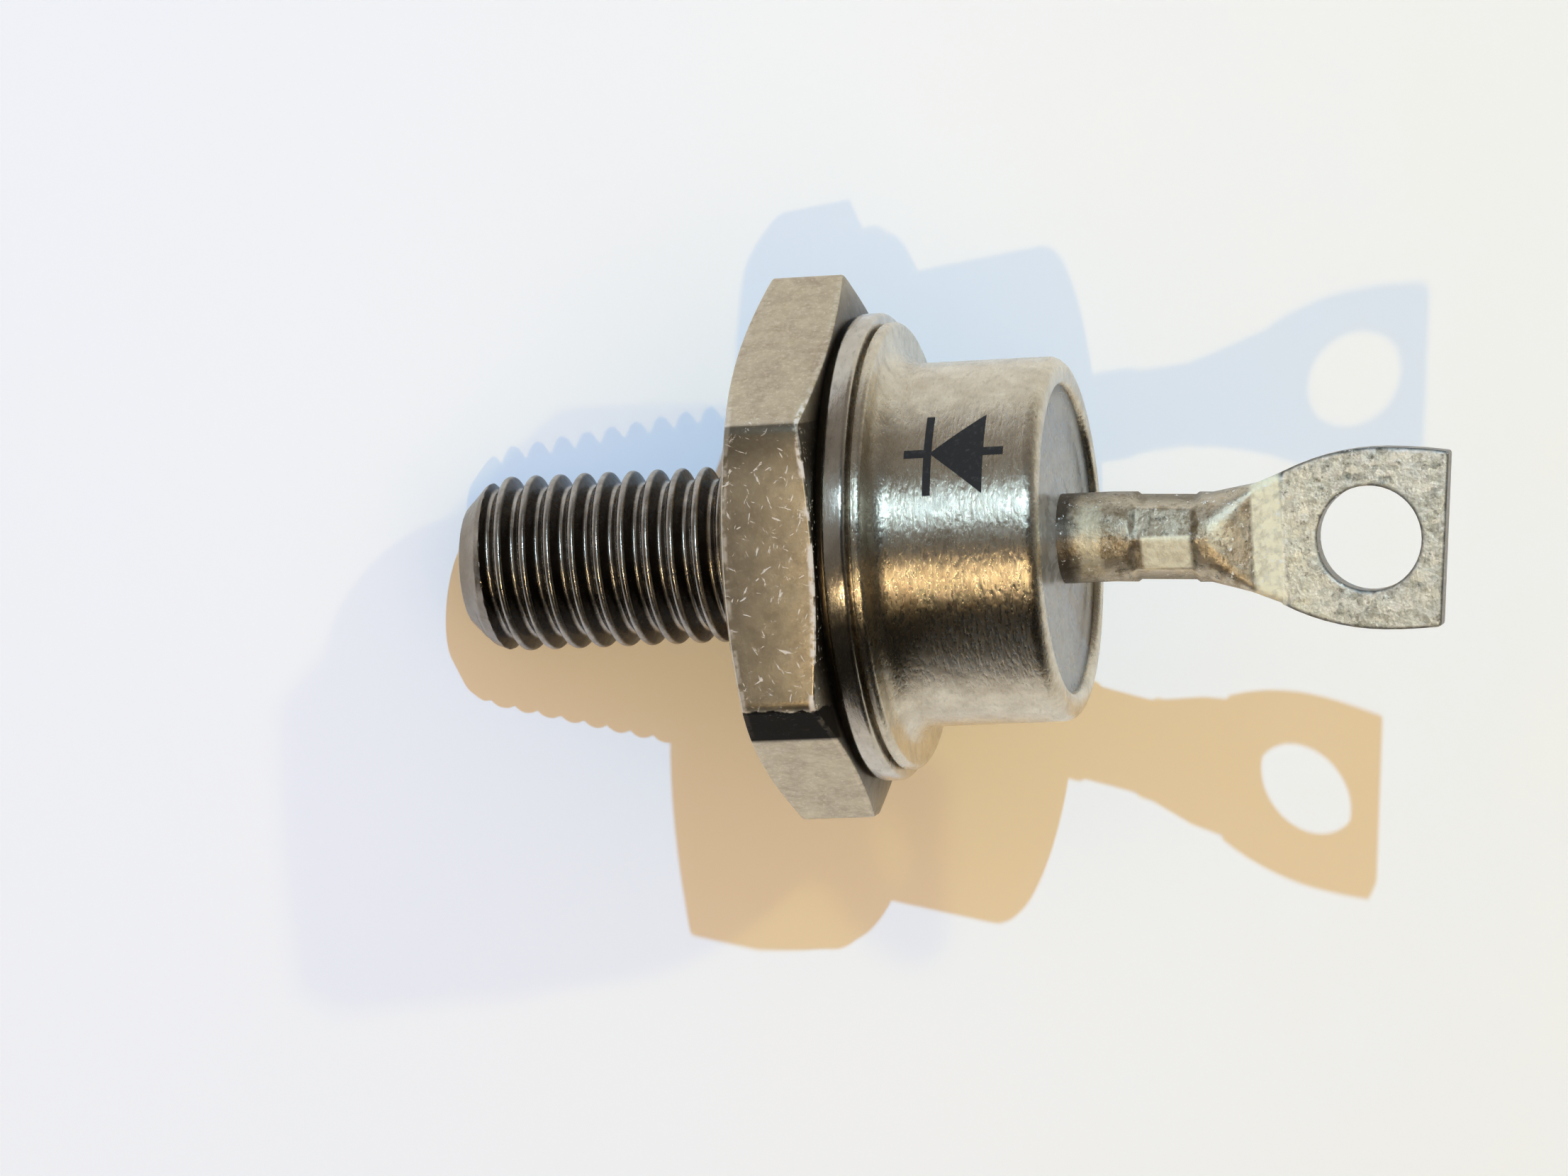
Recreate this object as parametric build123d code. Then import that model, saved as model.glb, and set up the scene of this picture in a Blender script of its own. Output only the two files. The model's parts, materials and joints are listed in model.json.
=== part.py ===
from build123d import *
import os
from math import atan2, cos, degrees, radians, sin, sqrt, tan

# Stud mount rectifier diode, one way up as it comes to rest on a table: the tip of
# the threaded stud and one flat of the hexagonal base touch the table, and the
# flattened terminal points up at an angle.  Millimetres, +Z up.
#
# Every piece is modelled along the diode's own axis first.  That axis is X, with
# x = 0 at the seating face of the hexagon, the stud towards -X and the terminal
# towards +X.  Y lies across the terminal blade and Z points through it.  The last
# section lays the whole diode down on the table.

# ---- driving dimensions -------------------------------------------------------

# threaded stud, a 1/4-28 UNF shank at its major diameter
stud_length = 10.9
stud_diameter = 6.3
tip_chamfer = 1.0

# hexagonal base
hex_across_flats = 17.0
hex_thickness = 3.7
hex_corner_radius = 0.5
seat_face_diameter = 14.0
seat_chamfer_angle = 16.0
top_face_diameter = 16.4
top_chamfer_angle = 12.5

# shoulder that carries the weld ring, and the platform that carries the die
shoulder_diameter = 14.8
shoulder_height = 0.1
platform_diameter = 10.4
platform_height = 1.3
braze_thickness = 0.1

# steel weld ring round the platform
ring_diameter = 16.6
ring_thickness = 0.8
ring_edge_radius = 0.12
ring_clearance = 0.05

# drawn cap: welded foot, concave root, straight wall and a rolled rim
foot_land = 0.5
foot_thickness = 0.5
foot_edge_radius = 0.18
cap_root_radius = 1.0
cap_diameter = 12.9
cap_wall = 0.6
cap_height = 6.3
rim_opening_diameter = 10.9
rim_outer_radius = 0.75
rim_inner_radius = 0.2
rim_depth = 2.6

# glass-to-metal seal
glass_recess = 0.35
glass_thickness = 2.0
glass_meniscus = 0.12
meniscus_width = 0.7

# terminal tube, crimped on the lead and pressed flat into a pierced blade
tube_diameter = 3.18
tube_bore = 2.0
tube_below_glass = 0.5
tube_straight = 1.6
crimp_across_flats = 2.78
crimp_facets = 8
crimp_lead_in = 0.95
crimp_length = 1.95
crimp_ramp = 0.3
neck_length = 0.3
press_width = 3.75
press_thickness = 2.0
press_length = 1.45
press_edge_radius = 0.35
round_share = 0.98
ramp_length = 1.05
blade_thickness = 0.95
blade_edge_radius = 0.3
blade_width = 6.36
blade_widest = 3.6
flare_radius = 8.0
nose_radius = 17.0
blade_length = 5.7
blade_end_skew = 2.7
blade_corner_radius = 0.12
hole_diameter = 3.68
hole_from_ramp = 3.05
terminal_lean = 2.8

# die stack inside the cap, from the platform up
disc_diameter = 6.0
lower_disc_thickness = 0.5
upper_disc_thickness = 0.4
die_diameter = 5.0
die_thickness = 0.3
solder_thickness = 0.1

# copper lead from the stack up into the tube, with a headed foot
lead_clearance = 0.05
lead_head_diameter = 4.4
lead_head_thickness = 0.35
lead_taper = 0.6


# ---- stations along the axis ---------------------------------------------------

shoulder_top = hex_thickness + shoulder_height
platform_top = shoulder_top + platform_height
ring_bottom = shoulder_top + braze_thickness
ring_top = ring_bottom + ring_thickness
cap_top = ring_top + cap_height
glass_top = cap_top - glass_recess
glass_bottom = glass_top - glass_thickness
tube_start = glass_bottom - tube_below_glass
bend = cap_top + tube_straight
crimp_start = bend + crimp_lead_in
crimp_end = crimp_start + crimp_length
press_start = crimp_end + crimp_ramp + neck_length
press_end = press_start + press_length
blade_start = press_end + ramp_length
blade_end = blade_start + blade_length
hole_station = blade_start + hole_from_ramp

foot_diameter = cap_diameter + 2 * (cap_root_radius + foot_land)
tube_radius = tube_diameter / 2
bore_end = bend - tube_radius


# ---- helpers ------------------------------------------------------------------

def turned(*corners):
    """A solid of revolution about the X axis.

    Each corner is (x, radius), or (x, radius, rounding) where it is rounded off.
    """
    profile = make_face(Polyline(*[corner[:2] for corner in corners], close=True))
    for corner in corners:
        if len(corner) == 3:
            place = Vertex(corner[0], corner[1], 0)
            profile = fillet(profile.vertices().sort_by_distance(place)[0], corner[2])
    return revolve(profile, Axis.X, 360)


def disc(start, thickness, diameter, bore=0.0):
    """A flat round disc or ring whose lower face is at x = start."""
    end = start + thickness
    return turned((start, bore / 2), (start, diameter / 2),
                  (end, diameter / 2), (end, bore / 2))


def across(x):
    """The plane across the axis at station x, with its own X along +Y."""
    return Plane(origin=(x, 0, 0), x_dir=(0, 1, 0), z_dir=(1, 0, 0))


# ---- base: stud, hexagon, shoulder and platform in one piece --------------------

def hexagon_base():
    """The hexagon, its corners turned off by a shallow cone on both faces."""
    corner_reach = hex_across_flats / sqrt(3)
    outline = RegularPolygon(hex_across_flats / 2, 6, major_radius=False)
    outline = fillet(outline.vertices(), hex_corner_radius)
    prism = extrude(across(0) * outline, hex_thickness)
    seat_radius = seat_face_diameter / 2
    top_radius = top_face_diameter / 2
    seat_rise = (corner_reach - seat_radius) * tan(radians(seat_chamfer_angle))
    top_fall = (corner_reach - top_radius) * tan(radians(top_chamfer_angle))
    turning = turned((0, 0), (0, seat_radius), (seat_rise, corner_reach),
                     (hex_thickness - top_fall, corner_reach),
                     (hex_thickness, top_radius), (hex_thickness, 0))
    return prism & turning


def base_stud():
    stud_radius = stud_diameter / 2
    stud = turned((0, 0), (0, stud_radius), (-stud_length + tip_chamfer, stud_radius),
                  (-stud_length, stud_radius - tip_chamfer), (-stud_length, 0))
    shoulder = disc(hex_thickness, shoulder_height, shoulder_diameter)
    platform = disc(shoulder_top, platform_height, platform_diameter)
    return hexagon_base() + stud + shoulder + platform


# ---- weld ring, its braze and the drawn cap -------------------------------------

def braze_ring():
    bore = platform_diameter + 2 * ring_clearance
    return disc(shoulder_top, braze_thickness, shoulder_diameter, bore)


def weld_ring():
    bore_radius = platform_diameter / 2 + ring_clearance
    edge = ring_diameter / 2
    return turned((ring_bottom, bore_radius), (ring_bottom, edge, ring_edge_radius),
                  (ring_top, edge, ring_edge_radius), (ring_top, bore_radius))


def cap_shell():
    """Welded foot, concave root, straight wall, and a rim rolled in over the glass."""
    outer = cap_diameter / 2
    inner = outer - cap_wall
    opening = rim_opening_diameter / 2
    foot_top = ring_top + foot_thickness
    rim_start = cap_top - rim_depth
    return turned((ring_top, inner), (ring_top, foot_diameter / 2),
                  (foot_top, foot_diameter / 2, foot_edge_radius),
                  (foot_top, outer, cap_root_radius),
                  (cap_top, outer, rim_outer_radius),
                  (cap_top, opening, rim_inner_radius),
                  (rim_start, opening), (rim_start - (inner - opening), inner))


def glass_seal():
    """The fused glass disc, which creeps a little up the tube and the rim."""
    opening = rim_opening_diameter / 2
    creep = glass_top + glass_meniscus
    return turned((glass_bottom, tube_radius), (glass_bottom, opening), (creep, opening),
                  (glass_top, opening - meniscus_width, meniscus_width),
                  (glass_top, tube_radius + meniscus_width, meniscus_width),
                  (creep, tube_radius))


# ---- terminal: tube, crimp, pressed neck and pierced blade ----------------------

def blade_half_width(x):
    """Half the blade's width at station x: two arcs that meet at its widest place."""
    widest = blade_start + blade_widest
    radius = flare_radius if x < widest else nose_radius
    return blade_width / 2 - radius + sqrt(radius ** 2 - (x - widest) ** 2)


def blade_side(start, end, side):
    """One arc of the blade's outline between two stations, on side +1 or -1."""
    middle = (start + end) / 2
    places = [(x, side * blade_half_width(x)) for x in (start, middle, end)]
    return ThreePointArc(*places)


def blade():
    """The flattened end, sheared off a little out of square and pierced."""
    widest = blade_start + blade_widest
    beyond = blade_end + blade_thickness
    sides = [blade_side(start, end, side)
             for side in (1, -1) for start, end in ((blade_start, widest), (widest, beyond))]
    ends = [Line((x, -blade_half_width(x)), (x, blade_half_width(x)))
            for x in (blade_start, beyond)]
    outline = make_face(sides + ends)
    waste = Rectangle(blade_width, 2 * blade_width, align=(Align.MIN, Align.CENTER))
    outline -= Pos(blade_end, 0, 0) * Rot(0, 0, -blade_end_skew) * waste
    outline = fillet(outline.vertices().sort_by(Axis.X)[-2:], blade_corner_radius)
    plate = extrude(outline, blade_thickness / 2, both=True)
    hole = Pos(hole_station, 0, 0) * Cylinder(hole_diameter / 2, 2 * blade_thickness)
    return plate - hole


def pressed_section(x, width, thickness, corner):
    return across(x) * RectangleRounded(width, thickness, corner)


def pressed_neck():
    """The tube pressed from round, over two creases, down to the blade's thickness."""
    nearly_round = round_share * tube_radius
    sections = [
        pressed_section(press_start, tube_diameter, tube_diameter, nearly_round),
        pressed_section(press_end, press_width, press_thickness, press_edge_radius),
        pressed_section(blade_start, 2 * blade_half_width(blade_start), blade_thickness,
                        blade_edge_radius),
    ]
    return loft(sections, ruled=True)


def crimped_barrel():
    """The tube squeezed between dies to a ring of flats with sloping ends."""
    barrel = disc(bend, press_start - bend, tube_diameter)
    flat = crimp_across_flats / 2
    beyond = 2 * tube_radius
    die = make_face(Polyline(
        (crimp_start - crimp_ramp, tube_radius), (crimp_start, flat), (crimp_end, flat),
        (crimp_end + crimp_ramp, tube_radius), (crimp_end + crimp_ramp, beyond),
        (crimp_start - crimp_ramp, beyond), close=True))
    die = extrude(die, tube_radius, both=True)
    for facet in range(crimp_facets):
        barrel -= Rot((facet + 0.5) * 360 / crimp_facets, 0, 0) * die
    return barrel


def terminal():
    bore_radius = tube_bore / 2
    tube = turned((tube_start, bore_radius), (tube_start, tube_radius), (bend, tube_radius),
                  (bend, 0), (bore_end, 0), (bore_end, bore_radius))
    knuckle = Pos(bend, 0, 0) * Sphere(tube_radius)
    leaning = Pos(bend, 0, 0) * Rot(0, 0, -terminal_lean) * Pos(-bend, 0, 0)
    return tube + knuckle + leaning * (crimped_barrel() + pressed_neck() + blade())


# ---- the die stack and its lead -------------------------------------------------

def stack_pieces():
    """The soldered stack, from the platform up, and the lead that stands on it."""
    layers = [
        ("base_solder", solder_thickness, disc_diameter),
        ("lower_disc", lower_disc_thickness, disc_diameter),
        ("lower_die_solder", solder_thickness, die_diameter),
        ("silicon_die", die_thickness, die_diameter),
        ("upper_die_solder", solder_thickness, die_diameter),
        ("upper_disc", upper_disc_thickness, disc_diameter),
        ("lead_solder", solder_thickness, lead_head_diameter),
    ]
    pieces = {}
    station = platform_top
    for name, thickness, diameter in layers:
        if name == "lower_die_solder":
            coating_start = station
        if name == "upper_disc":
            coating_length = station - coating_start
        pieces[name] = disc(station, thickness, diameter)
        station += thickness
    pieces["die_coating"] = disc(coating_start, coating_length, disc_diameter, die_diameter)
    pieces["internal_lead"] = internal_lead(station)
    return pieces


def internal_lead(foot):
    shank = tube_bore / 2 - lead_clearance
    head = lead_head_diameter / 2
    shoulder = foot + lead_head_thickness
    return turned((foot, 0), (foot, head), (shoulder, head),
                  (shoulder + lead_taper, shank), (bore_end, shank), (bore_end, 0))


# ---- the diode laid down --------------------------------------------------------

def lying_place(pieces):
    """Tip the diode on to the stud's tip and one flat, with the table at z = 0.

    The table touches the chamfer's edge at the tip, and the middle of the flat's
    edge on the seating side.  The origin is under the middle of the whole diode.
    """
    tip_x = -stud_length + tip_chamfer
    tip_z = -stud_diameter / 2
    flat_z = -hex_across_flats / 2
    flat_x = (-flat_z - seat_face_diameter / 2) * tan(radians(seat_chamfer_angle))
    tilt = atan2(tip_z - flat_z, flat_x - tip_x)
    tipped = Rot(0, -degrees(tilt), 0)
    height = -(tip_x * sin(tilt) + tip_z * cos(tilt))
    box = Compound([tipped * piece for piece in pieces.values()]).bounding_box()
    middle_x = (box.min.X + box.max.X) / 2
    middle_y = (box.min.Y + box.max.Y) / 2
    print(f"tilt {degrees(tilt):.3f} degrees, height {height:.4f}, low point {box.min.Z:.4f}")
    print(f"middle x {middle_x:.4f}, y {middle_y:.4f}")
    return Pos(-middle_x, -middle_y, height) * tipped


pieces = {
    "base_stud": base_stud(),
    "braze_ring": braze_ring(),
    "weld_ring": weld_ring(),
    "cap_shell": cap_shell(),
    "glass_seal": glass_seal(),
    "terminal": terminal(),
}
pieces.update(stack_pieces())

place = lying_place(pieces)
os.makedirs("parts", exist_ok=True)
for name, piece in pieces.items():
    export_step(place * piece, f"parts/{name}.step")
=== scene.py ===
import json
from math import atan2, cos, pi, radians, sin, sqrt, tan

import bpy
from mathutils import Matrix, Vector, noise


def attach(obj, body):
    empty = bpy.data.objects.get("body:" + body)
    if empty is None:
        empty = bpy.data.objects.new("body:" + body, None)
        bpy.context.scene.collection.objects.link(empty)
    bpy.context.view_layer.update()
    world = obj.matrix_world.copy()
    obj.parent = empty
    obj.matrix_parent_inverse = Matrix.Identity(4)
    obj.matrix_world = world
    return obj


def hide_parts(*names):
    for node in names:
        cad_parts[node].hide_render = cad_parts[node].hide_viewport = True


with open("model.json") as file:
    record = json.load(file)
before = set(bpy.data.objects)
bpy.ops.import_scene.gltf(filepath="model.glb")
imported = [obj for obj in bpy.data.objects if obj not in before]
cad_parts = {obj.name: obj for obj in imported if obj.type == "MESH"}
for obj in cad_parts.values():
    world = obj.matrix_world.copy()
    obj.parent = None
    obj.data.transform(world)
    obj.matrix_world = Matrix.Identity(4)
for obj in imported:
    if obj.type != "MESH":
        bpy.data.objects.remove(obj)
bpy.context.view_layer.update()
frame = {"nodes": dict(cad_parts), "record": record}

# ---- the diode's own axes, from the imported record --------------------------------
# Shapes are made in millimetres along the diode's axis: a runs from the seating face
# towards the terminal, b across the blade and c out through the blade's face.

MM = 0.001
mounts = {mount["name"]: mount for mount in frame["record"]["mounts"]}
stud_mount = mounts["stud"]
ALONG = -Vector(stud_mount["axis"]).normalized()
OUT = Vector(mounts["terminal_hole"]["axis"]).normalized()
ACROSS = OUT.cross(ALONG)
AXES = Matrix((ALONG, ACROSS, OUT)).transposed()
SEAT = Vector(stud_mount["pos_m"]) + ALONG * (stud_mount["dims"]["length_mm"] * MM / 2)
TILT = atan2(ALONG.z, ALONG.x)


def place(a, b, c):
    return SEAT + AXES @ Vector((a, b, c)) * MM


# ---- sizes, as in the CAD source --------------------------------------------------

STUD_LENGTH = 10.9
STUD_RADIUS = 3.15
TIP_CHAMFER = 1.0
THREAD_PITCH = 0.907
CREST_ROUND = 0.165
ROOT_ROUND = 0.15
FLANK = radians(60)
FIRST_CREST = 0.601
APOTHEM = 8.5
HEX_THICKNESS = 3.7
HEX_CORNER = 0.5
SEAT_RADIUS = 7.0
SEAT_ANGLE = radians(16)
TOP_RADIUS = 8.2
TOP_ANGLE = radians(12.5)
SHOULDER_RADIUS = 7.4
SHOULDER_TOP = 3.8
PLATFORM_RADIUS = 5.2
PLATFORM_TOP = 5.1
RING_BOTTOM = 3.9
RING_TOP = 4.7
RING_RADIUS = 8.3
CAP_TOP = 11.0
CAP_RADIUS = 6.45
CAP_INNER = 5.85
CAP_ROOT_RADIUS = 1.0
FOOT_RADIUS = 7.95
FOOT_THICKNESS = 0.5
FOOT_GROOVE = 0.12
FOOT_GROOVE_DEPTH = 0.4
RIM_RADIUS = 0.75
RIM_DEPTH = 2.6
OPENING = 5.45
GLASS_TOP = 10.65
GLASS_BOTTOM = 8.65
MENISCUS = 0.12
MENISCUS_WIDTH = 0.7
TUBE_RADIUS = 1.59


# ---- mesh helpers -----------------------------------------------------------------

def rounded(corners, steps=5):
    """Points of a line whose corners (x, r, rounding) are turned into arcs."""
    points = []
    for i, corner in enumerate(corners):
        here = Vector(corner[:2])
        if len(corner) < 3 or i in (0, len(corners) - 1):
            points.append(tuple(here))
            continue
        back = Vector(corners[i - 1][:2]) - here
        ahead = Vector(corners[i + 1][:2]) - here
        half = back.angle(ahead) / 2
        reach = min(corner[2] / tan(half), 0.49 * back.length, 0.49 * ahead.length)
        radius = reach * tan(half)
        middle = here + (back.normalized() + ahead.normalized()).normalized() * radius / sin(half)
        start = here + back.normalized() * reach - middle
        end = here + ahead.normalized() * reach - middle
        for k in range(steps + 1):
            arm = start.lerp(end, k / steps)
            points.append(tuple(middle + arm.normalized() * radius))
    return points


def mesh_object(name, points, faces, sharp=40):
    mesh = bpy.data.meshes.new(name)
    mesh.from_pydata([place(*p) for p in points], [], faces)
    mesh.update()
    mesh.shade_smooth()
    mesh.set_sharp_from_angle(angle=radians(sharp))
    piece = bpy.data.objects.new(name, mesh)
    bpy.context.scene.collection.objects.link(piece)
    return piece


def dress(piece, slot, material, *nodes):
    """Rides the piece on the part, in its material, in place of CAD nodes; the slot is not used.
    """
    piece.data.materials.append(material)
    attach(piece, "root")
    if nodes:
        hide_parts(*nodes)
    return piece


def skin(rings, closed_profile=False):
    """Points and quads of a skin over rings of points; each ring is closed."""
    count = len(rings[0])
    points = [p for ring in rings for p in ring]
    faces = []
    last = len(rings) if closed_profile else len(rings) - 1
    for i in range(last):
        low, high = i * count, (i + 1) % len(rings) * count
        for j in range(count):
            k = (j + 1) % count
            faces.append((low + j, high + j, high + k, low + k))
    return points, faces


def ring_of(a, r, angles):
    return [(a, r * cos(t), r * sin(t)) for t in angles]


def circle_angles(count):
    return [2 * pi * k / count for k in range(count)]


def turned(name, corners, segments=256):
    """A solid of revolution from a closed profile."""
    profile = rounded(corners + [corners[0]])[:-1]
    angles = circle_angles(segments)
    points, faces = skin([ring_of(a, r, angles) for a, r in profile], closed_profile=True)
    return mesh_object(name, points, faces)


# ---- base: hexagon and threaded stud ----------------------------------------------

CORNER_MIDDLE = (APOTHEM - HEX_CORNER) / cos(pi / 6)
FLAT_EDGE = atan2(CORNER_MIDDLE * sin(pi / 6), APOTHEM)
WORN_CORNERS = ((pi, 9.60), (4 * pi / 3, 9.62))  # angle, and distance from the axis
CORNER_DENT = 0.03
SURFACE_WEAR = 0.016


def hexagon_angles():
    """Angles round the hexagon, close together at its six rounded corners."""
    angles = []
    for side in range(6):
        middle = pi / 6 + side * pi / 3
        angles += [middle + FLAT_EDGE * sin(pi / 2 * (k / 16 - 1)) for k in range(32)]
        angles += [middle + FLAT_EDGE + (pi / 3 - 2 * FLAT_EDGE) * k / 6 for k in range(6)]
    return angles


def hexagon_reach(angle):
    """The rounded hexagon's radius at an angle; flats face 30, 90, 150 degrees."""
    off = (angle % (pi / 3)) - pi / 6
    from_corner = pi / 6 - abs(off)
    if abs(off) <= FLAT_EDGE:
        reach = APOTHEM / cos(off)
    else:
        bow = CORNER_MIDDLE * sin(from_corner)
        reach = CORNER_MIDDLE * cos(from_corner) + sqrt(HEX_CORNER ** 2 - bow ** 2)
    for corner, distance in WORN_CORNERS:
        if abs(angle % (2 * pi) - corner) < pi / 6:
            dent = CORNER_DENT * noise.noise(Vector((0.8 * HEX_THICKNESS, corner, 0)))
            reach = min(reach, (distance + dent) / cos(angle - corner))
    return reach


def hexagon_rings():
    """Rings from the stud over the chamfered hexagon to the middle of the platform."""
    rings = []
    angles = hexagon_angles()
    columns = []
    for t in angles:
        reach = hexagon_reach(t)
        seat = (reach - SEAT_RADIUS) * tan(SEAT_ANGLE)
        top = HEX_THICKNESS - (reach - TOP_RADIUS) * tan(TOP_ANGLE)
        corners = [(0, STUD_RADIUS - 0.4), (0, STUD_RADIUS + 0.6), (0, SEAT_RADIUS, 0.3)]
        corners += [(seat, reach, 0.10), (top, reach, 0.12), (HEX_THICKNESS, TOP_RADIUS, 0.3)]
        corners += [(HEX_THICKNESS, SHOULDER_RADIUS), (SHOULDER_TOP, SHOULDER_RADIUS, 0.03)]
        corners += [(SHOULDER_TOP, PLATFORM_RADIUS), (PLATFORM_TOP, PLATFORM_RADIUS, 0.05)]
        corners += [(PLATFORM_TOP, 0.01)]
        columns.append(rounded(corners, steps=4))
    for i in range(len(columns[0])):
        ring = []
        for t, column in zip(angles, columns):
            a, r = column[i]
            worn = 0.0
            if r > SEAT_RADIUS:
                spot = Vector((a * 0.9, r * cos(t) * 0.7, r * sin(t) * 0.7))
                worn = SURFACE_WEAR * abs(noise.noise(spot))
            ring.append((a, (r - worn) * cos(t), (r - worn) * sin(t)))
        rings.append(ring)
    return rings


THREAD_DEPTH = THREAD_PITCH / 2 * tan(FLANK) - CREST_ROUND - ROOT_ROUND
STEPS_A_PITCH = 32
THREAD_DENT = 0.012


def thread_radius(a, t):
    """The rolled thread: rounded crests and roots, a chamfered tip and a run-out."""
    turn = ((a - FIRST_CREST) / THREAD_PITCH - t / (2 * pi)) % 1.0
    from_crest = THREAD_PITCH * min(turn, 1.0 - turn)
    from_root = THREAD_PITCH / 2 - from_crest
    if from_crest < CREST_ROUND * sin(FLANK):
        drop = CREST_ROUND - sqrt(CREST_ROUND ** 2 - from_crest ** 2)
    elif from_root < ROOT_ROUND * sin(FLANK):
        drop = THREAD_DEPTH - ROOT_ROUND + sqrt(ROOT_ROUND ** 2 - from_root ** 2)
    else:
        down_flank = from_crest - CREST_ROUND * sin(FLANK)
        drop = CREST_ROUND * (1 - cos(FLANK)) + down_flank * tan(FLANK)
    radius = STUD_RADIUS - drop
    run_out = min(1.0, max(0.0, (a + 1.1) / 0.5))
    radius += (STUD_RADIUS - 0.40 - radius) * run_out
    from_tip = a + STUD_LENGTH
    cone = STUD_RADIUS - TIP_CHAMFER + from_tip
    first_crests = STUD_RADIUS - THREAD_DEPTH * max(0.0, 1.15 - from_tip / 1.2)
    return min(radius, cone, first_crests)


def stud_rings():
    """Rings from the middle of the stud's end face up into the hexagon."""
    angles = circle_angles(200)
    steps = int(STUD_LENGTH / THREAD_PITCH * STEPS_A_PITCH)
    rings = [[(-STUD_LENGTH + 0.02, 0.01 * cos(t), 0.01 * sin(t)) for t in angles]]
    flat = STUD_RADIUS - TIP_CHAMFER
    for r in (flat * 0.5, flat - 0.15, flat - 0.05):
        rings.append(ring_of(-STUD_LENGTH, r, angles))
    for i in range(1, steps + 8):
        a = -STUD_LENGTH + i * THREAD_PITCH / STEPS_A_PITCH
        ring = []
        for t in angles:
            spot = Vector((a * 1.3, 2.2 * cos(t), 2.2 * sin(t)))
            r = thread_radius(a, t) - THREAD_DENT * abs(noise.noise(spot))
            ring.append((a, r * cos(t), r * sin(t)))
        rings.append(ring)
    return rings


def threaded_base(stud_material, hexagon_material):
    """The stud and the hexagon as one piece, each with its own material."""
    points, faces = skin(stud_rings())
    hex_points, hex_faces = skin(hexagon_rings())
    start = len(points)
    faces_of_stud = len(faces)
    faces += [tuple(start + i for i in face) for face in hex_faces]
    piece = mesh_object("threaded_base", points + hex_points, faces, sharp=50)
    dress(piece, "nickel_plated_copper", stud_material, "base_stud")
    piece.data.materials.append(hexagon_material)
    for face in piece.data.polygons[faces_of_stud:]:
        face.material_index = 1
    return piece


# ---- shader helpers ---------------------------------------------------------------

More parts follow.
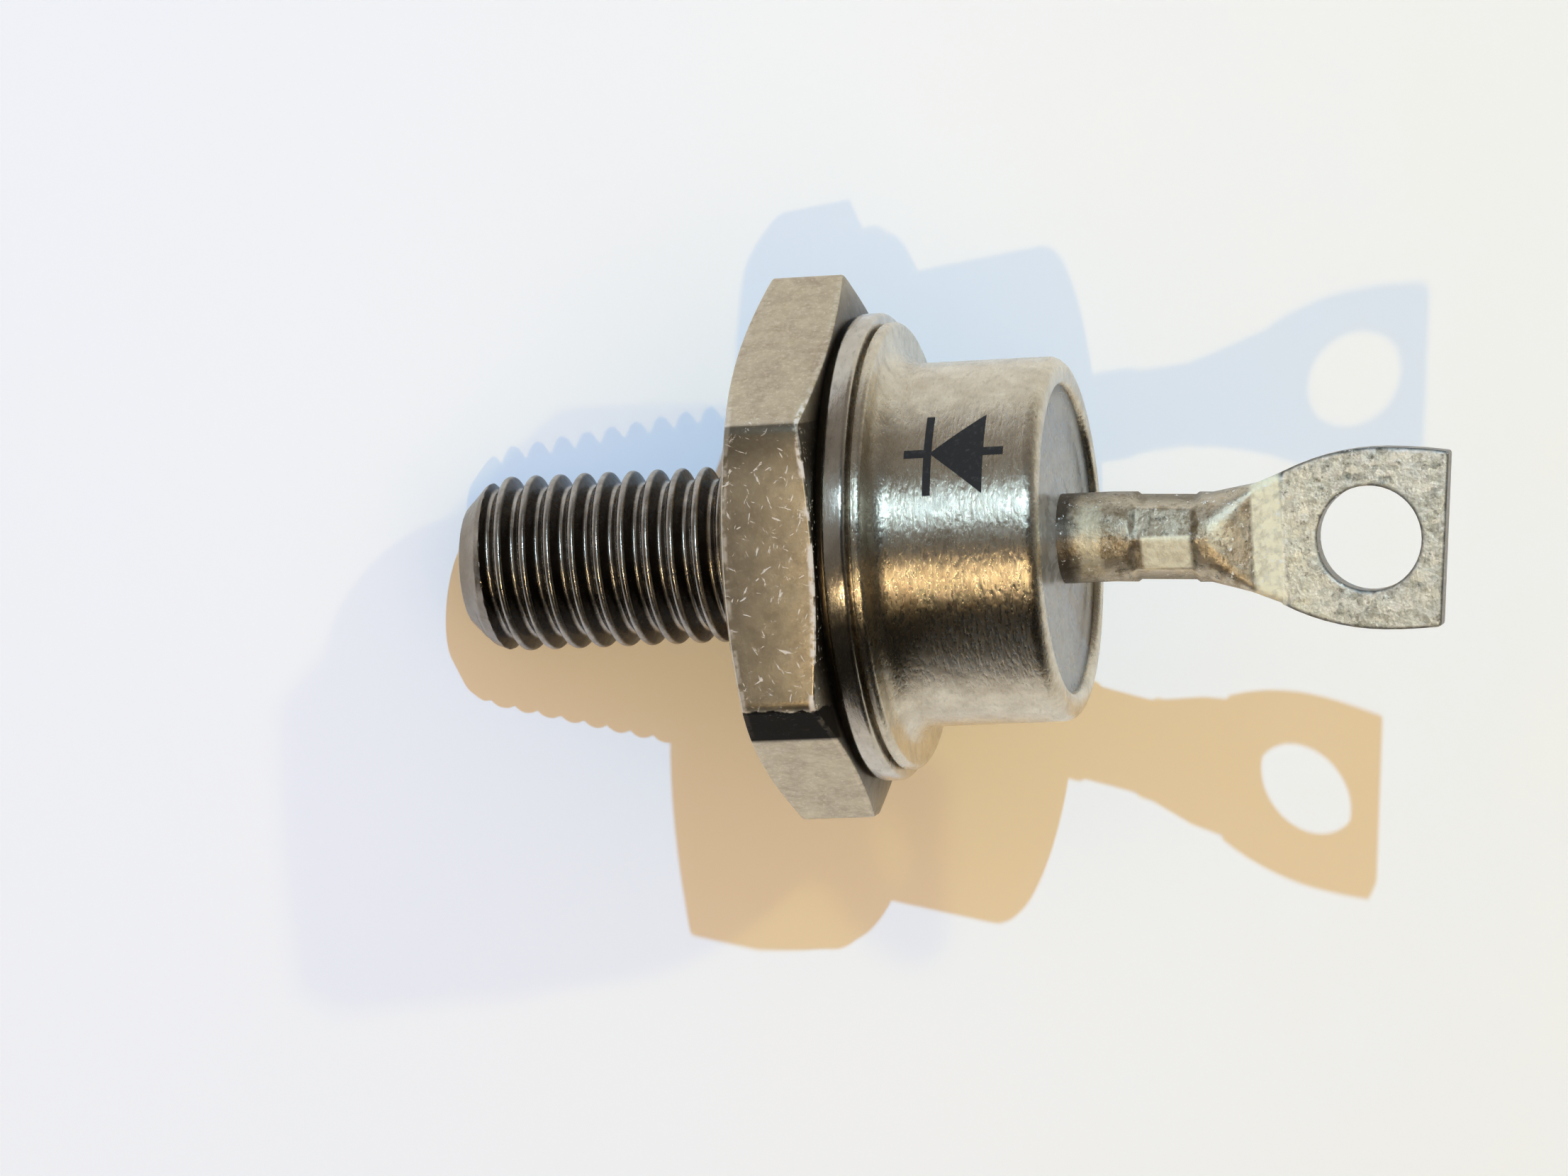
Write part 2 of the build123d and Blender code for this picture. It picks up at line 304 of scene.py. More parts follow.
class Shader:
    """A material or world tree, with short names for the nodes that it uses."""

    def __init__(self, tree):
        self.tree = tree

    def node(self, kind, **settings):
        made = self.tree.nodes.new(kind)
        for key, value in settings.items():
            setattr(made, key, value)
        return made

    def feed(self, socket, value):
        if isinstance(value, bpy.types.NodeSocket):
            self.tree.links.new(value, socket)
        else:
            socket.default_value = value

    def math(self, operation, first, second=0.0):
        made = self.node("ShaderNodeMath", operation=operation)
        self.feed(made.inputs[0], first)
        self.feed(made.inputs[1], second)
        return made.outputs[0]

    def product(self, first, *others):
        for other in others:
            first = self.math("MULTIPLY", first, other)
        return first

    def scaled(self, vector, scale, offset=(0, 0, 0), turn=(0, 0, 0)):
        made = self.node("ShaderNodeMapping")
        self.feed(made.inputs["Vector"], vector)
        made.inputs["Scale"].default_value = scale
        made.inputs["Location"].default_value = offset
        made.inputs["Rotation"].default_value = turn
        return made.outputs[0]

    def noise(self, vector, scale, detail=4.0, rough=0.55, distort=0.0):
        made = self.node("ShaderNodeTexNoise")
        self.feed(made.inputs["Vector"], vector)
        made.inputs["Scale"].default_value = scale
        made.inputs["Detail"].default_value = detail
        made.inputs["Roughness"].default_value = rough
        made.inputs["Distortion"].default_value = distort
        return made.outputs["Fac"]

    def cells(self, vector, scale):
        made = self.node("ShaderNodeTexVoronoi")
        self.feed(made.inputs["Vector"], vector)
        made.inputs["Scale"].default_value = scale
        return made

    def span(self, value, low, high, to_low=0.0, to_high=1.0):
        """value, stretched from low..high to to_low..to_high, and held there."""
        made = self.node("ShaderNodeMapRange", clamp=True)
        self.feed(made.inputs["Value"], value)
        made.inputs["From Min"].default_value = low
        made.inputs["From Max"].default_value = high
        made.inputs["To Min"].default_value = to_low
        made.inputs["To Max"].default_value = to_high
        return made.outputs["Result"]

    def mix(self, factor, first, second):
        made = self.node("ShaderNodeMix", data_type="RGBA")
        self.feed(made.inputs["Factor"], factor)
        for socket, value in ((made.inputs[6], first), (made.inputs[7], second)):
            if isinstance(value, tuple):
                socket.default_value = (*value, 1.0)
            else:
                self.feed(socket, value)
        return made.outputs[2]

    def bump(self, height, distance, normal=None):
        made = self.node("ShaderNodeBump")
        made.inputs["Distance"].default_value = distance * MM
        self.feed(made.inputs["Height"], height)
        if normal:
            self.feed(made.inputs["Normal"], normal)
        return made.outputs[0]

    def between(self, value, low, high, soft):
        """1 where value lies from low to high, 0 outside, with soft edges."""
        return self.product(self.span(value, low - soft, low + soft),
                            self.span(value, high - soft, high + soft, 1.0, 0.0))

    def facing(self, normal, axis):
        """How squarely a normal faces along an axis: 1 when it does, 0 when it's across."""
        made = self.node("ShaderNodeVectorMath", operation="DOT_PRODUCT")
        self.feed(made.inputs[0], normal)
        made.inputs[1].default_value = tuple(axis)
        return made.outputs["Value"]

    def facing_along(self):
        """How squarely the surface faces the way that the terminal points."""
        return self.facing(self.node("ShaderNodeNewGeometry").outputs["Normal"], ALONG)

    def from_axis(self, b, c):
        """The distance from the diode's axis."""
        return self.math("SQRT", self.math("ADD", self.product(b, b), self.product(c, c)))

    def round_axis(self, b, c):
        """The direction that runs round the diode's axis."""
        return self.joined(self.product(b, OUT.x), self.product(c, -1.0),
                           self.product(b, OUT.z))

    def local(self):
        """The point in the diode's own millimetres."""
        turn = Matrix.Rotation(TILT, 3, "Y")
        start = turn @ SEAT / MM
        here = self.node("ShaderNodeTexCoord").outputs["Object"]
        return self.scaled(here, (1 / MM,) * 3, tuple(-start), (0, TILT, 0))

    def parts(self, vector):
        made = self.node("ShaderNodeSeparateXYZ")
        self.feed(made.inputs[0], vector)
        return made.outputs

    def joined(self, x, y, z):
        made = self.node("ShaderNodeCombineXYZ")
        for socket, value in zip(made.inputs, (x, y, z)):
            self.feed(socket, value)
        return made.outputs[0]


def surface(name, metallic=1.0, roughness=0.4, **constants):
    """A new material: its shader helper and its Principled BSDF."""
    material = bpy.data.materials.new(name)
    material.use_nodes = True
    shader = Shader(material.node_tree)
    bsdf = material.node_tree.nodes["Principled BSDF"]
    bsdf.inputs["Metallic"].default_value = metallic
    bsdf.inputs["Roughness"].default_value = roughness
    for key, value in constants.items():
        bsdf.inputs[key].default_value = value
    return material, shader, bsdf


def scratches(s, here, seed, turn, level):
    """Short thin streaks in one direction, as 0 to 1."""
    course = s.scaled(here, (1, 1, 1), (0, 0, 0), turn)
    course = s.scaled(course, (0.7, 3.6, 3.6), (seed, seed * 2, seed * 3))
    return s.span(s.noise(course, 1.8, 3, 0.6), level, level + 0.03)


def painted_dark_bands(s, here, b, c, radius):
    """Painted shade: two dark bands along the edges at the two ends of the hexagon's upper flat,
    for the dark reflection on its rounded corners.
    """
    ragged = s.math("ADD", b, s.span(s.noise(here, 1.3, 4, 0.6), 0.3, 0.7, -0.12, 0.12))
    above = s.product(s.span(c, 5.0, 5.4), s.span(radius, 8.3, 8.6))
    low = s.product(s.span(ragged, -4.98, -4.9, 1.0, 0.0), s.span(b, -6.25, -6.1))
    high = s.product(s.span(b, 4.9, 4.95, 1.0, 0.0), s.span(ragged, 3.0, 4.7, 0.0, 0.66))
    return s.product(s.math("ADD", low, high), above, 0.98)


def near_edge(s, a, radius, flat_radius, chamfer):
    """1 close to the edge where the hexagon's flats meet a chamfer."""
    slope = s.product(s.math("SUBTRACT", radius, flat_radius), chamfer)
    off = s.math("ABSOLUTE", s.math("SUBTRACT", a, slope))
    return s.span(off, 0.14, 0.22, 1.0, 0.0)


def hexagon_plating():
    """Aged bright plating: stains, light-scattering marks, painted shade, painted highlights."""
    material, s, bsdf = surface("hexagon_plating")
    here = s.local()
    a, b, c = s.parts(here)
    radius = s.from_axis(b, c)
    along = s.facing_along()
    stain = s.span(s.noise(here, 0.75, 6, 0.6, 0.6), 0.36, 0.66)
    fleck = s.span(s.noise(here, 3.4, 4, 0.65), 0.40, 0.66)
    colour = s.mix(stain, (0.42, 0.34, 0.24), (0.56, 0.48, 0.335))
    colour = s.mix(s.product(fleck, 0.45), colour, (0.70, 0.62, 0.465))
    # painted highlight: the outward flat made lighter, for the lamps' light on it
    colour = s.mix(s.span(c, 8.1, 8.4, 0.0, 0.40), colour, (0.76, 0.67, 0.53))
    pale = s.span(s.noise(here, 7.0, 4, 0.7), 0.54, 0.66, 0.0, 0.40)
    colour = s.mix(pale, colour, (0.84, 0.74, 0.58))
    # painted shade: near-black bands along two of the hexagon's corners
    painted_band_shade = painted_dark_bands(s, here, b, c, radius)
    colour = s.mix(painted_band_shade, colour, (0.008, 0.007, 0.006))
    # painted shade: the chamfer darkening towards the ring that overhangs it
    painted_ring_shade = s.product(s.span(along, 0.6, 0.9), s.span(radius, 8.3, 9.5, 0.92, 0.45))
    colour = s.mix(painted_ring_shade, colour, (0.035, 0.028, 0.022))
    marks = scratches(s, here, 1.3, (0, 0, 0.35), 0.655)
    for seed, turn in ((4.1, 1.15), (7.7, 1.9), (9.2, 2.65)):
        marks = s.math("MAXIMUM", marks, scratches(s, here, seed, (0, 0.2, turn), 0.665))
    marks = s.product(marks, s.span(c, 7.7, 8.3, 0.12, 0.9))
    from_top = s.math("SUBTRACT", HEX_THICKNESS, a)
    top_edge = near_edge(s, from_top, radius, TOP_RADIUS, tan(TOP_ANGLE))
    seat_edge = s.product(near_edge(s, a, radius, SEAT_RADIUS, tan(SEAT_ANGLE)), 0.45)
    on_flats = s.product(s.span(radius, 8.3, 8.45),
                         s.span(s.math("ABSOLUTE", along), 0.75, 0.90, 1.0, 0.0))
    # bright edges where the flats meet the chamfers: painted highlight of the lamps on the
    # rounded edges, and wear
    wear_and_painted_highlight = s.product(s.math("MAXIMUM", top_edge, seat_edge), on_flats,
                       s.span(s.noise(here, 1.7, 3, 0.6), 0.45, 0.55),
                       s.span(c, 6.5, 7.5, 0.25, 0.95))
    marks = s.math("MAXIMUM", marks, wear_and_painted_highlight)
    marks = s.product(marks, s.span(painted_band_shade, 0.3, 0.95, 1.0, 0.15))
    s.feed(bsdf.inputs["Base Color"], s.mix(marks, colour, (0.86, 0.76, 0.62)))
    s.feed(bsdf.inputs["Metallic"], s.math("SUBTRACT", 1.0, marks))
    rough = s.span(s.noise(here, 1.6, 5), 0.3, 0.7, 0.33, 0.43)
    s.feed(bsdf.inputs["Roughness"], s.math("MAXIMUM", rough, s.product(painted_band_shade, 0.8)))
    wave = s.bump(s.noise(here, 0.8, 3, 0.5), 0.014)
    s.feed(bsdf.inputs["Normal"], s.bump(s.noise(here, 5.0, 4, 0.6), 0.004, wave))
    return material


def thread_plating():
    """Dull plating on the rolled thread, with painted shade on the flanks that face the hexagon.
    """
    material, s, bsdf = surface("thread_plating", Anisotropic=0.8)
    here = s.local()
    a, b, c = s.parts(here)
    stain = s.span(s.noise(here, 1.4, 6, 0.6, 0.6), 0.36, 0.66)
    colour = s.mix(stain, (0.27, 0.24, 0.21), (0.46, 0.42, 0.37))
    tip = s.span(a, -10.6, -9.6, 0.85, 0.0)
    colour = s.mix(tip, colour, (0.22, 0.18, 0.13))
    # painted shade: near-black on the flanks that face the hexagon, for the dark they reflect
    painted_flank_shade = s.span(s.facing_along(), 0.42, 0.80, 0.0, 0.90)
    colour = s.mix(painted_flank_shade, colour, (0.016, 0.014, 0.013))
    s.feed(bsdf.inputs["Base Color"], colour)
    s.feed(bsdf.inputs["Roughness"], s.span(s.noise(here, 3.0, 5), 0.3, 0.7, 0.21, 0.31))
    s.feed(bsdf.inputs["Tangent"], s.round_axis(b, c))
    s.feed(bsdf.inputs["Normal"], s.bump(s.noise(here, 5.0, 4, 0.6), 0.003))
    return material


def turned_metal(name, dark, light, roughness, groove):
    """Drawn and polished metal, with fine marks round the axis that spread its gloss."""
    material, s, bsdf = surface(name, Anisotropic=0.8)
    bsdf.inputs["Anisotropic Rotation"].default_value = 0.25
    here = s.local()
    a, b, c = s.parts(here)
    radius = s.from_axis(b, c)
    turn = s.math("ARCTAN2", b, c)
    grain = s.noise(s.joined(s.product(a, 5.0), s.product(turn, 12.0), radius), 1.6, 4, 0.65)
    lines = s.noise(s.joined(s.product(a, 9.0), s.product(turn, 2.5), radius), 1.5, 5, 0.7)
    mottle = s.noise(here, 1.1, 4, 0.6, 0.4)
    colour = s.mix(s.span(mottle, 0.3, 0.7), dark, light)
    colour = s.mix(s.span(grain, 0.56, 0.68, 0.0, 0.35), colour, tuple(0.6 * v for v in dark))
    s.feed(bsdf.inputs["Base Color"], colour)
    s.feed(bsdf.inputs["Roughness"], s.span(grain, 0.3, 0.7, roughness - 0.05, roughness + 0.07))
    grooves = s.bump(lines, 0.5 * groove)
    s.feed(bsdf.inputs["Normal"], s.bump(grain, groove, grooves))
    s.feed(bsdf.inputs["Tangent"], s.round_axis(b, c))
    return material


def tinned():
    """Dull hot-tinned copper: a spangled grain and dark pits, bright places of wear and painted
    highlight, painted glints, and painted shade on the tube.
    """
    material, s, bsdf = surface("tinned_copper")
    here = s.local()
    a, b, c = s.parts(here)
    spangle = s.cells(s.scaled(here, (1.0, 1.5, 1.0)), 3.2)
    facet = s.parts(spangle.outputs["Color"])[0]
    cloud = s.span(s.noise(here, 2.2, 6, 0.7, 0.8), 0.36, 0.64)
    grain = s.span(s.noise(here, 6.5, 5, 0.75), 0.34, 0.68)
    colour = s.mix(cloud, (0.54, 0.575, 0.545), (0.95, 0.99, 0.955))
    colour = s.mix(s.span(facet, 0.5, 1.0, 0.0, 0.75), colour, (0.98, 1.0, 0.98))
    colour = s.mix(s.span(facet, 0.0, 0.4, 0.45, 0.0), colour, (0.26, 0.28, 0.25))
    colour = s.mix(s.span(grain, 0.0, 0.6, 0.30, 0.0), colour, (0.17, 0.185, 0.165))
    by_ramp = s.product(s.between(a, 18.5, 19.9, 0.5), 0.4)
    colour = s.mix(by_ramp, colour, (0.98, 0.99, 0.86))
    tube = s.span(a, 17.4, 18.6, 1.0, 0.0)
    colour = s.mix(s.product(tube, 0.72), colour, (0.64, 0.51, 0.32))
    brown = s.span(s.noise(here, 1.9, 5, 0.7), 0.50, 0.60, 0.0, 0.62)
    colour = s.mix(s.product(brown, tube), colour, (0.30, 0.22, 0.125))
    # painted shade: the tube darker towards its sides
    side = s.product(s.span(s.math("ABSOLUTE", c), 0.25, 1.0, 0.7, 0.0),
                     s.span(a, 17.2, 17.6, 1.0, 0.0))
    colour = s.mix(side, colour, (0.12, 0.10, 0.075))
    pits = s.span(s.noise(here, 2.9, 5, 0.8), 0.55, 0.66)
    colour = s.mix(s.product(pits, 0.78), colour, (0.12, 0.12, 0.10))
    softened = s.node("ShaderNodeBevel", samples=6)
    softened.inputs["Radius"].default_value = 0.22 * MM
    level = s.math("ABSOLUTE", s.facing(softened.outputs[0], OUT))
    # darker along the blade's edges, darkest where they round over onto its faces
    rim = s.product(s.span(level, 0.86, 0.992, 0.94, 0.0), s.span(a, 18.3, 18.7))
    blade_edge_tone = s.mix(s.span(level, 0.15, 0.55), (0.20, 0.175, 0.135), (0.03, 0.03, 0.026))
    colour = s.mix(rim, colour, blade_edge_tone)
    ragged = s.math("ADD", a, s.span(s.noise(here, 1.8, 4), 0.3, 0.7, -0.15, 0.15))
    # painted shade: the tube darker at its root, inside the cap's opening
    colour = s.mix(s.span(ragged, 11.15, 11.55, 0.88, 0.0), colour, (0.10, 0.085, 0.07))
    broken = s.span(s.noise(here, 3.6, 4, 0.7), 0.42, 0.56)
    # pale patches on the ramp, the crimp, the lead-in and the neck: painted highlights, with some
    # wear
    ramp = s.product(s.between(a, 17.62, 18.62, 0.06), s.span(c, 0.3, 0.5),
                     s.span(broken, 0, 1, 0.68, 1.0))
    crimp = s.product(s.between(a, 13.75, 15.5, 0.08), s.between(b, -1.15, 0.02, 0.05),
                      s.span(c, 0.5, 0.7), s.span(broken, 0, 1, 0.76, 1.0))
    lead_in = s.product(s.between(ragged, 11.55, 12.35, 0.1), s.span(c, 0.9, 1.2), 0.45)
    neck = s.product(s.between(ragged, 16.2, 17.0, 0.15), s.between(b, -0.5, 0.4, 0.15),
                     s.span(c, 0.3, 0.5, 0.0, 0.7), broken)
    wear_and_painted_highlight = ramp
    for painted_highlight_place in (crimp, lead_in, neck):
        wear_and_painted_highlight = s.math("MAXIMUM", wear_and_painted_highlight, painted_highlight_place)
    colour = s.mix(wear_and_painted_highlight, colour, (1.0, 0.93, 0.64))
    # painted glints: small pale spots on the tin
    specks = s.span(s.noise(s.scaled(here, (1, 1, 1), (5, 3, 1)), 4.4, 4, 0.7), 0.63, 0.67)
    colour = s.mix(specks, colour, (0.92, 0.92, 0.84))
    s.feed(bsdf.inputs["Base Color"], colour)
    bright = s.math("MAXIMUM", specks, wear_and_painted_highlight)
    s.feed(bsdf.inputs["Metallic"], s.math("SUBTRACT", 0.9, s.product(bright, 0.88)))
    s.feed(bsdf.inputs["Roughness"], s.span(grain, 0.0, 1.0, 0.30, 0.46))
    wave = s.bump(s.noise(here, 1.6, 3, 0.5), 0.05, softened.outputs[0])
    s.feed(bsdf.inputs["Normal"], s.bump(s.noise(here, 5.0, 5, 0.7), 0.03, wave))
    return material


def fused_glass():
    """Grey fused glass, with faint streaks out from the tube and painted shade at its rim."""
    material, s, bsdf = surface("seal_glass", metallic=0.0, IOR=1.8)
    here = s.local()
    a, b, c = s.parts(here)
    radius = s.from_axis(b, c)
    spread = s.joined(s.product(radius, 0.25), s.math("DIVIDE", b, radius),
                      s.math("DIVIDE", c, radius))
    streaks = s.span(s.noise(spread, 4.5, 2, 0.6), 0.38, 0.64)
    cloud = s.noise(here, 1.4, 5, 0.6)
    colour = s.mix(streaks, (0.29, 0.275, 0.245), (0.41, 0.395, 0.36))
    colour = s.mix(s.span(cloud, 0.45, 0.7, 0.0, 0.5), colour, (0.15, 0.14, 0.11))
    # painted shade: darker towards the rim, in the corner against the cap's wall
    rim = s.span(radius, 5.0, 5.4, 0.0, 0.8)
    colour = s.mix(rim, colour, (0.02, 0.02, 0.02))
    s.feed(bsdf.inputs["Base Color"], colour)
    s.feed(bsdf.inputs["Roughness"], s.span(streaks, 0.0, 1.0, 0.24, 0.32))
    s.feed(bsdf.inputs["Normal"], s.bump(s.noise(here, 1.2, 2), 0.002))
    return material


def plain(name, colour, metallic, roughness):
    """The material of a piece inside the cap: one colour with a little mottle."""
    material, s, bsdf = surface(name, metallic=metallic, roughness=roughness)
    mottle = s.noise(s.local(), 3.0, 4)
    dark = tuple(0.75 * channel for channel in colour)
    s.feed(bsdf.inputs["Base Color"], s.mix(mottle, dark, colour))
    return material


def printed_ink():
    """Black ink, worn through a little to grey."""
    material, s, bsdf = surface("black_ink", metallic=0.0, roughness=0.6)
    here = s.local()
    worn = s.span(s.noise(here, 6.0, 5, 0.7), 0.55, 0.75)
    s.feed(bsdf.inputs["Base Color"], s.mix(worn, (0.012, 0.011, 0.011), (0.06, 0.055, 0.05)))
    return material


# ---- the pieces -------------------------------------------------------------------

ring_metal = turned_metal("ring_steel", (0.46, 0.41, 0.34), (0.62, 0.57, 0.49), 0.23, 0.011)
cap_metal = turned_metal("cap_nickel", (0.53, 0.46, 0.355), (0.73, 0.665, 0.54), 0.27, 0.030)

threaded_base(thread_plating(), hexagon_plating())

ring_bore = PLATFORM_RADIUS + 0.05
weld_ring = turned("bevelled_weld_ring", [
    (RING_BOTTOM, ring_bore), (RING_BOTTOM, RING_RADIUS, 0.14),
    (RING_TOP, RING_RADIUS, 0.16), (RING_TOP, ring_bore)])
dress(weld_ring, "ring_steel", ring_metal, "weld_ring")

foot_top = RING_TOP + FOOT_THICKNESS
groove_radius = FOOT_RADIUS - FOOT_GROOVE_DEPTH
groove_top = RING_TOP + FOOT_GROOVE
cap = turned("polished_cap", [
    (RING_TOP, CAP_INNER), (RING_TOP, groove_radius), (groove_top, groove_radius),
    (groove_top, FOOT_RADIUS, 0.06), (foot_top, FOOT_RADIUS, 0.2),
    (foot_top, CAP_RADIUS, CAP_ROOT_RADIUS), (CAP_TOP, CAP_RADIUS, RIM_RADIUS),
    (CAP_TOP, OPENING, 0.2), (CAP_TOP - RIM_DEPTH, OPENING),
    (CAP_TOP - RIM_DEPTH - 0.4, CAP_INNER)], segments=320)
dress(cap, "cap_nickel", cap_metal, "cap_shell")

glass_edge = GLASS_TOP + MENISCUS
glass = turned("glass_to_metal_seal", [
    (GLASS_BOTTOM, TUBE_RADIUS), (GLASS_BOTTOM, OPENING), (glass_edge, OPENING),
    (GLASS_TOP, OPENING - MENISCUS_WIDTH, 1.5), (GLASS_TOP, TUBE_RADIUS + MENISCUS_WIDTH, 1.5),
    (glass_edge, TUBE_RADIUS)])
dress(glass, "seal_glass", fused_glass(), "glass_seal")


def printed(name, strips, material):
    """Ink on the cap's wall: strips of (a, from angle, to angle) stations."""
    points, faces = [], []
    radius = CAP_RADIUS + 0.006
    across = 24
    for strip in strips:
        start = len(points)
        (from_a, *from_edges), (to_a, *to_edges) = strip
        for row in range(across + 1):
            share = row / across
            a = from_a + (to_a - from_a) * share
            low, high = (e + (f - e) * share for e, f in zip(from_edges, to_edges))
            for k in range(across + 1):
                t = radians(low + (high - low) * k / across)
                points.append((a, radius * cos(t), radius * sin(t)))
        for i in range(across):
            for k in range(across):
                corner = start + i * (across + 1) + k
                faces.append((corner, corner + across + 1, corner + across + 2, corner + 1))
    piece = mesh_object(name, points, faces)
    return dress(piece, "cap_nickel", material)


# a plain diode symbol, pointing to the stud: its edges are angles round the cap
SYMBOL_ANGLE = 57
line, bar, point = ((SYMBOL_ANGLE - half, SYMBOL_ANGLE + half) for half in (1.4, 14, 0.6))
printed("polarity_mark", [
    [(6.35, *line), (7.05, *line)],
    [(7.05, *bar), (7.33, *bar)],
    [(7.33, *point), (9.15, *bar)],
    [(9.15, *line), (9.85, *line)],
], printed_ink())

nodes = frame["nodes"]
cad_materials = {
    "terminal": tinned(),
    # the braze ring's dull brown is darkened as painted shade for the gap between the hexagon and
    # the ring
    "braze_ring": plain("braze", (0.30, 0.26, 0.20), 1.0, 0.5),
    "internal_lead": plain("lead_copper", (0.72, 0.43, 0.29), 1.0, 0.35),
    "silicon_die": plain("silicon", (0.18, 0.19, 0.21), 0.0, 0.25),
    "die_coating": plain("silicone", (0.85, 0.84, 0.80), 0.0, 0.6),
}
solder = plain("solder", (0.62, 0.62, 0.60), 1.0, 0.35)
molybdenum = plain("molybdenum", (0.50, 0.50, 0.50), 1.0, 0.4)
for name in ("base_solder", "lower_die_solder", "upper_die_solder", "lead_solder"):
    cad_materials[name] = solder
for name in ("lower_disc", "upper_disc"):
    cad_materials[name] = molybdenum
for name, material in cad_materials.items():
    nodes[name].data.materials.clear()
    nodes[name].data.materials.append(material)

softened = nodes["terminal"].modifiers.new("soft_edges", "BEVEL")
softened.width = 0.10 * MM
softened.segments = 3
softened.limit_method = "ANGLE"
softened.angle_limit = radians(32)
softened.harden_normals = False


# ---- the table, the lamps and the world -------------------------------------------

PAPER_GLOW = (0.15, 0.125, 0.10)
COOL_LAMP = (-27, 150, 264)
COOL_GLINT = (-32, 128, 275)
WARM_LAMP = (-250, -223, 824)
WARM_GLINT = (-244, -266, 812)
SIDE_LAMP = (156, 120, 200)


def paper():
    """Pale paper with a faint mottle, a few specks of dust, and a painted cool-to-warm tint
    across it.
    """
    material, s, bsdf = surface("paper", metallic=0.0, roughness=0.9)
    here = s.scaled(s.node("ShaderNodeTexCoord").outputs["Object"], (1 / MM,) * 3)
    x, y, z = s.parts(here)
    # painted light: cooler at one side and warmer at the other, for the side lamp's fall-off
    across = s.span(x, -28, 28)
    colour = s.mix(across, (0.915, 0.92, 0.945), (0.925, 0.915, 0.83))
    blot = s.span(s.noise(here, 0.12, 4, 0.6), 0.35, 0.7, 0.0, 0.35)
    colour = s.mix(blot, colour, (0.90, 0.92, 0.91))
    dust = s.cells(here, 0.22)
    chosen = s.span(s.parts(dust.outputs["Color"])[1], 0.90, 0.91)
    grain = s.span(dust.outputs["Distance"], 0.018, 0.03, 0.75, 0.0)
    colour = s.mix(s.product(chosen, grain), colour, (0.16, 0.15, 0.15))
    s.feed(bsdf.inputs["Base Color"], colour)
    s.feed(bsdf.inputs["Normal"], s.bump(s.noise(here, 6.0, 4), 0.004))
    bsdf.inputs["Emission Color"].default_value = (*PAPER_GLOW, 1.0)
    path = s.node("ShaderNodeLightPath").outputs
    seen = s.math("MAXIMUM", path["Is Camera Ray"], path["Is Glossy Ray"])
    s.feed(bsdf.inputs["Emission Strength"], s.math("MAXIMUM", seen, path["Is Transmission Ray"]))
    return material


def table():
    """A flat floor, far wider than the picture."""
    reach = 1.5
    mesh = bpy.data.meshes.new("table")
    corners = [(-reach, -reach, 0), (reach, -reach, 0), (reach, reach, 0), (-reach, reach, 0)]
    mesh.from_pydata(corners, [], [(0, 1, 2, 3)])
    floor = bpy.data.objects.new("table", mesh)
    bpy.context.scene.collection.objects.link(floor)
    mesh.materials.append(paper())


def lamp(name, at_mm, radius_mm, colour, strength, glossy, diffuse):
    """A small lamp whose light doesn't fall off, that lights gloss or colour alone."""
    light = bpy.data.lights.new(name, "POINT")
    light.shadow_soft_size = radius_mm * MM
    light.energy = 1.0
    light.use_nodes = True
    s = Shader(light.node_tree)
    falloff = s.node("ShaderNodeLightFalloff")
    falloff.inputs["Strength"].default_value = strength
    emission = light.node_tree.nodes["Emission"]
    emission.inputs["Color"].default_value = (*colour, 1.0)
    s.feed(emission.inputs["Strength"], falloff.outputs["Constant"])
    piece = bpy.data.objects.new(name, light)
    piece.location = Vector(at_mm) * MM
    piece.visible_glossy = glossy
    piece.visible_diffuse = diffuse
    bpy.context.scene.collection.objects.link(piece)


def overhead():
    """A wide soft panel that fills the shadows; polished metal doesn't mirror it."""
    light = bpy.data.lights.new("fill_panel", "AREA")
    light.shape = "DISK"
    light.size = 0.9
    light.energy = 1.45
    light.color = (1.0, 0.68, 0.50)
    piece = bpy.data.objects.new("fill_panel", light)
    piece.location = (0, 0, 0.5)
    piece.visible_glossy = False
    bpy.context.scene.collection.objects.link(piece)


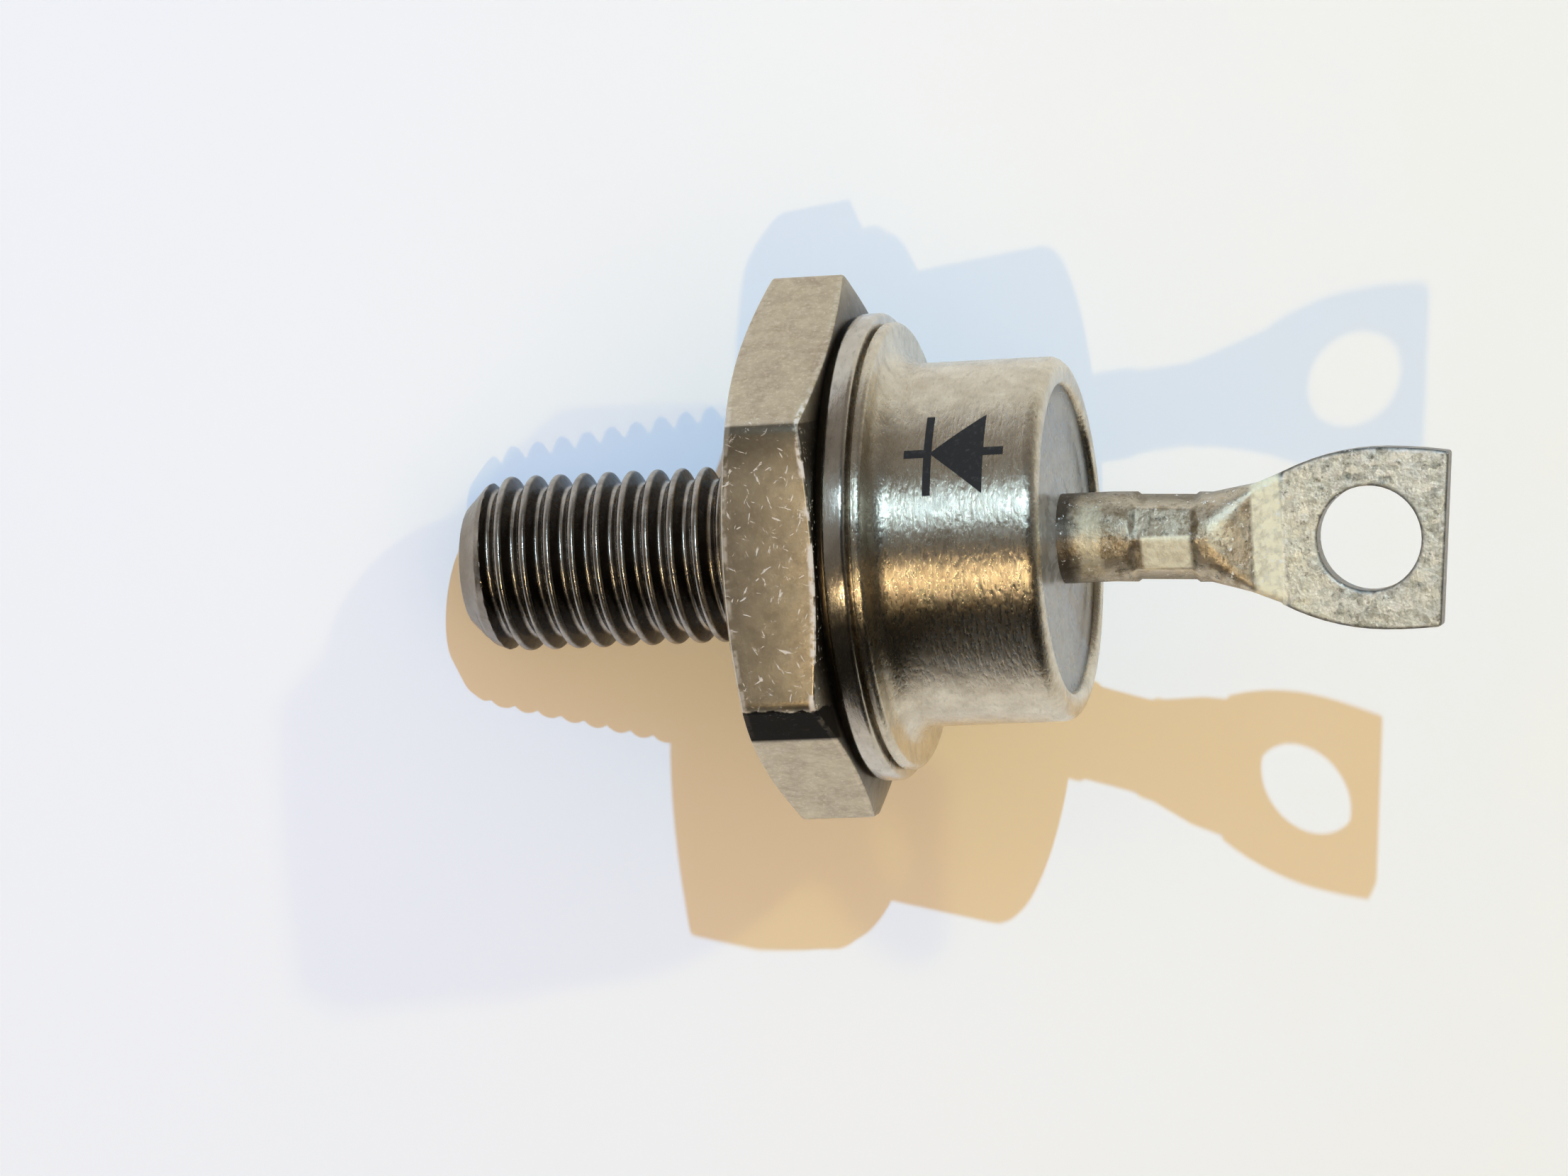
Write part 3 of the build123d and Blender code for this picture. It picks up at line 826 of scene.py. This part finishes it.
def room():
    """A dim room, lighter beyond the far side of the table and darker overhead."""
    world = bpy.data.worlds.new("room")
    bpy.context.scene.world = world
    world.use_nodes = True
    s = Shader(world.node_tree)
    direction = s.node("ShaderNodeTexCoord").outputs["Generated"]
    x, y, z = s.parts(direction)
    ramp = s.node("ShaderNodeValToRGB")
    stops = [(0.0, 0.02), (0.28, 0.02), (0.40, 0.06), (0.5, 0.20),
             (0.62, 0.26), (0.8, 0.30), (1.0, 0.27)]
    bar = ramp.color_ramp.elements
    while len(bar) < len(stops):
        bar.new(0.5)
    for element, (at, value) in zip(bar, stops):
        element.position = at
        element.color = (value, value * 0.93, value * 0.85, 1.0)
    s.feed(ramp.inputs[0], s.span(y, -1.0, 1.0))
    shaded = s.product(s.span(x, -0.5, -0.05), s.span(z, 0.3, 0.75),
                       s.span(y, 0.2, 0.7, 0.9, 0.68))
    kept = s.math("SUBTRACT", 1.0, shaded)
    seen = s.mix(kept, (0.0, 0.0, 0.0), ramp.outputs[0])
    path = s.node("ShaderNodeLightPath")
    colour = s.mix(path.outputs["Is Camera Ray"], seen, (0.90, 0.90, 0.88))
    background = world.node_tree.nodes["Background"]
    s.feed(background.inputs["Color"], colour)


table()
lamp("cool_lamp", COOL_LAMP, 1.6, (0.20, 0.56, 1.0), 27.0, False, True)
lamp("cool_glint", COOL_GLINT, 6.0, (0.57, 0.80, 1.0), 15.0, True, False)
lamp("warm_lamp", WARM_LAMP, 8.0, (1.0, 0.64, 0.09), 7.5, False, True)
lamp("warm_glint", WARM_GLINT, 20.0, (1.0, 0.76, 0.44), 9.0, True, False)
lamp("side_lamp", SIDE_LAMP, 5.0, (1.0, 0.9, 0.22), 4.0, False, True)
overhead()
room()


# ---- the camera ------------------------------------------------------------------

AXIS_TOWARDS_CAMERA = radians(13.64)
ROLL_ABOUT_AXIS = radians(4.155)
TURN_IN_PICTURE = radians(2.54)
DISTANCE = 225.6
AIM = (-0.555, 1.279)
LENS = 145.1

roll = Matrix.Rotation(ROLL_ABOUT_AXIS, 3, "X")
lift = Matrix.Rotation(-AXIS_TOWARDS_CAMERA, 3, "Y")
turn = Matrix.Rotation(TURN_IN_PICTURE, 3, "Z")
to_camera = turn @ lift @ roll
spot = to_camera.transposed() @ -Vector((AIM[0], AIM[1], -DISTANCE))
camera = bpy.data.objects.new("camera", bpy.data.cameras.new("camera"))
camera.data.lens = LENS
camera.data.sensor_width = 36
camera.data.clip_start = 0.001
camera.data.clip_end = 20
facing = AXES @ to_camera.transposed()
camera.matrix_world = Matrix.Translation(place(*spot)) @ facing.to_4x4()
bpy.context.scene.collection.objects.link(camera)
bpy.context.scene.camera = camera
bpy.context.scene.view_settings.view_transform = "Standard"
